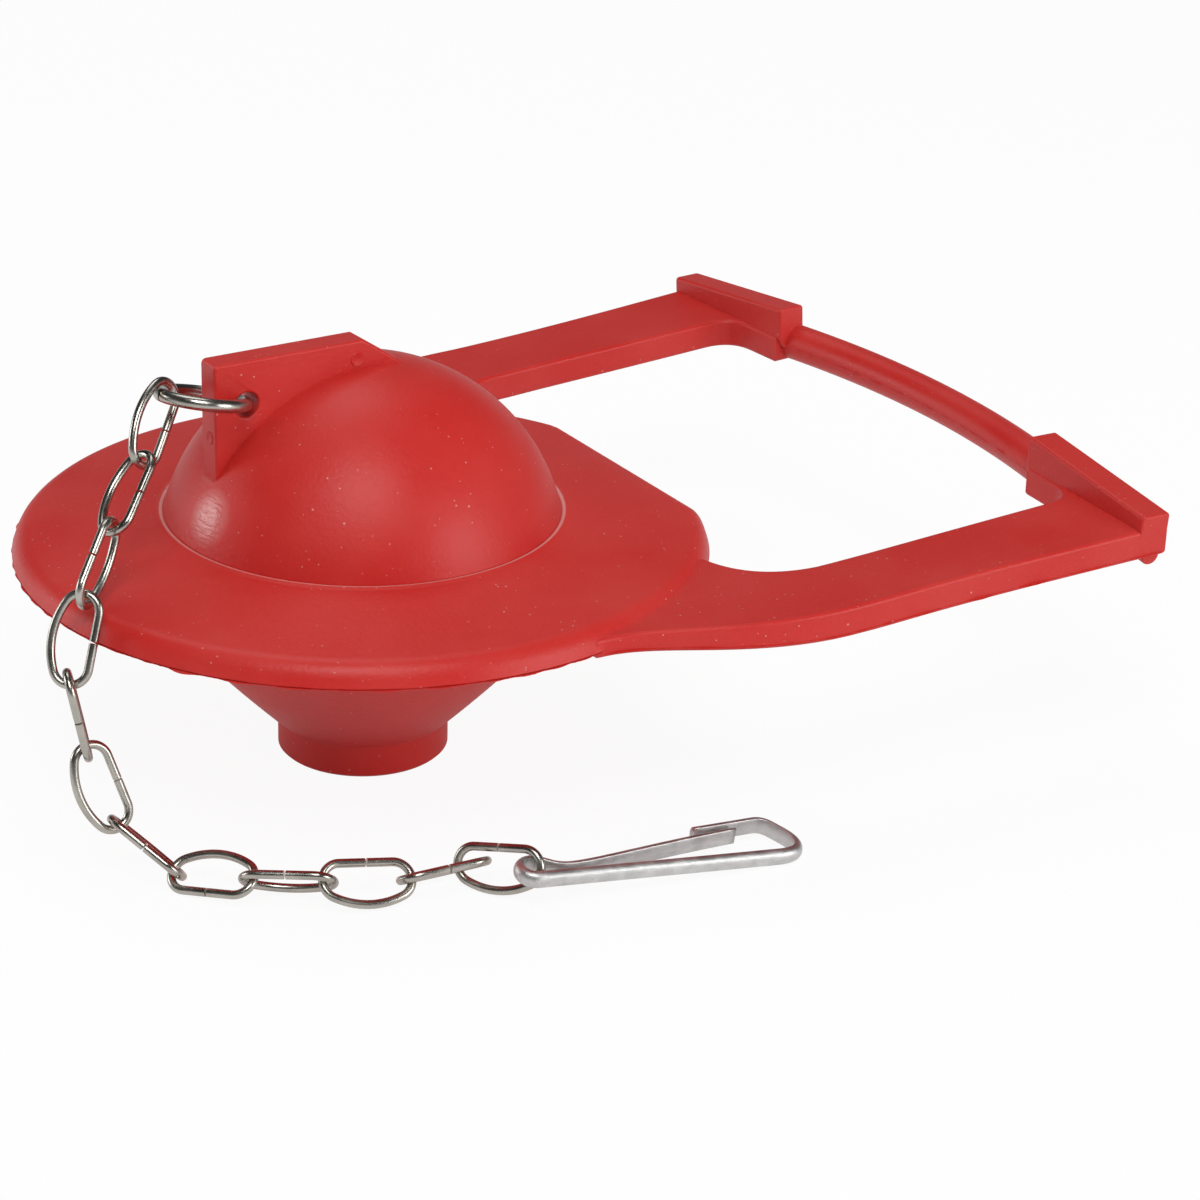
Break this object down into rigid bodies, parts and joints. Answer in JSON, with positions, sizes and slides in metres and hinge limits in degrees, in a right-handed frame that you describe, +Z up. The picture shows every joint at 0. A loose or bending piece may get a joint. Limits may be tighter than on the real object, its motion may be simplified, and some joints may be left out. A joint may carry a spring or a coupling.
{
  "type": "toilet flapper",
  "caption": "Rubber toilet flapper: round seal disc on a hollow float, finned dome, two hinge arms joined by a bowed rod, and a steel pull chain with a spring clip.",
  "frame": {"origin": "centre of the seal disc, on the plane of its lower edge, where the valve seat meets it", "axes": "+X from the disc along the arms to the rod, +Y towards the arm on the left looking along +X, +Z up through the dome"},
  "size_m": [0.1294, 0.0994, 0.051],
  "materials": {
    "rubber": "satin red moulded rubber",
    "chain_steel": "bright stainless wire",
    "clip_zinc": "dull zinc-plated strip"
  },
  "bodies": {
    "flapper": {"flapper": "rubber"},
    "chain_ring": {"chain_ring": "chain_steel"},
    "chain_link_01": {"chain_link_01": "chain_steel"},
    "chain_link_02": {"chain_link_02": "chain_steel"},
    "chain_link_03": {"chain_link_03": "chain_steel"},
    "chain_link_04": {"chain_link_04": "chain_steel"},
    "chain_link_05": {"chain_link_05": "chain_steel"},
    "chain_link_06": {"chain_link_06": "chain_steel"},
    "chain_link_07": {"chain_link_07": "chain_steel"},
    "chain_link_08": {"chain_link_08": "chain_steel"},
    "chain_link_09": {"chain_link_09": "chain_steel"},
    "chain_link_10": {"chain_link_10": "chain_steel"},
    "chain_link_11": {"chain_link_11": "chain_steel"},
    "chain_link_12": {"chain_link_12": "chain_steel"},
    "spring_clip": {"spring_clip": "clip_zinc"}
  },
  "joints": [
    {"name": "ring_swing", "type": "hinge", "parent": "flapper", "child": "chain_ring", "pos_m": [-0.0155, 0, 0.0202], "axis": [0, 1, 0], "range_deg": [0, 60]},
    {"name": "link_01_swing", "type": "hinge", "parent": "chain_ring", "child": "chain_link_01", "pos_m": [-0.02459, 0.00138, 0.02214], "axis": [-0.2554, -0.9477, 0.1915], "range_deg": [-60, 0]},
    {"name": "link_02_swing", "type": "hinge", "parent": "chain_link_01", "child": "chain_link_02", "pos_m": [-0.02904, -0.0024, 0.01605], "axis": [-0.7264, -0.1325, 0.6744], "range_deg": [-60, 27]},
    {"name": "link_03_swing", "type": "hinge", "parent": "chain_link_02", "child": "chain_link_03", "pos_m": [-0.03459, -0.00627, 0.01054], "axis": [-0.3548, 0.895, -0.2702], "range_deg": [-2, 60]},
    {"name": "link_04_swing", "type": "hinge", "parent": "chain_link_03", "child": "chain_link_04", "pos_m": [-0.03986, -0.01003, 0.00468], "axis": [-0.5029, -0.4444, 0.7413], "range_deg": [-60, 22]},
    {"name": "link_05_swing", "type": "hinge", "parent": "chain_link_04", "child": "chain_link_05", "pos_m": [-0.04275, -0.01197, -0.00336], "axis": [-0.6978, 0.7114, 0.0843], "range_deg": [-37, 60]},
    {"name": "link_06_swing", "type": "hinge", "parent": "chain_link_05", "child": "chain_link_06", "pos_m": [-0.04104, -0.01294, -0.01192], "axis": [0.3548, 0.9332, -0.0566], "range_deg": [-12, 60]},
    {"name": "link_07_swing", "type": "hinge", "parent": "chain_link_06", "child": "chain_link_07", "pos_m": [-0.03894, -0.01548, -0.02], "axis": [0.9715, 0.0426, 0.2331], "range_deg": [-37, 60]},
    {"name": "link_08_swing", "type": "hinge", "parent": "chain_link_07", "child": "chain_link_08", "pos_m": [-0.03442, -0.02173, -0.02427], "axis": [0.4803, 0.724, -0.4951], "range_deg": [-17, 60]},
    {"name": "link_09_swing", "type": "hinge", "parent": "chain_link_08", "child": "chain_link_09", "pos_m": [-0.02939, -0.02879, -0.02271], "axis": [-0.6188, -0.5345, -0.5757], "range_deg": [-60, 60]},
    {"name": "link_10_swing", "type": "hinge", "parent": "chain_link_09", "child": "chain_link_10", "pos_m": [-0.0225, -0.03415, -0.02222], "axis": [0.4713, 0.5122, -0.718], "range_deg": [-37, 60]},
    {"name": "link_11_swing", "type": "hinge", "parent": "chain_link_10", "child": "chain_link_11", "pos_m": [-0.01403, -0.03616, -0.02323], "axis": [-0.2534, -0.6577, -0.7093], "range_deg": [-60, 60]},
    {"name": "link_12_swing", "type": "hinge", "parent": "chain_link_11", "child": "chain_link_12", "pos_m": [-0.00539, -0.03738, -0.02276], "axis": [-0.1478, -0.8307, 0.5368], "range_deg": [-60, 42]},
    {"name": "clip_swing", "type": "hinge", "parent": "chain_link_12", "child": "spring_clip", "pos_m": [-0.00236, -0.04375, -0.02148], "axis": [-0.1953, -0.3292, -0.9238], "range_deg": [-60, 17]}
  ]
}
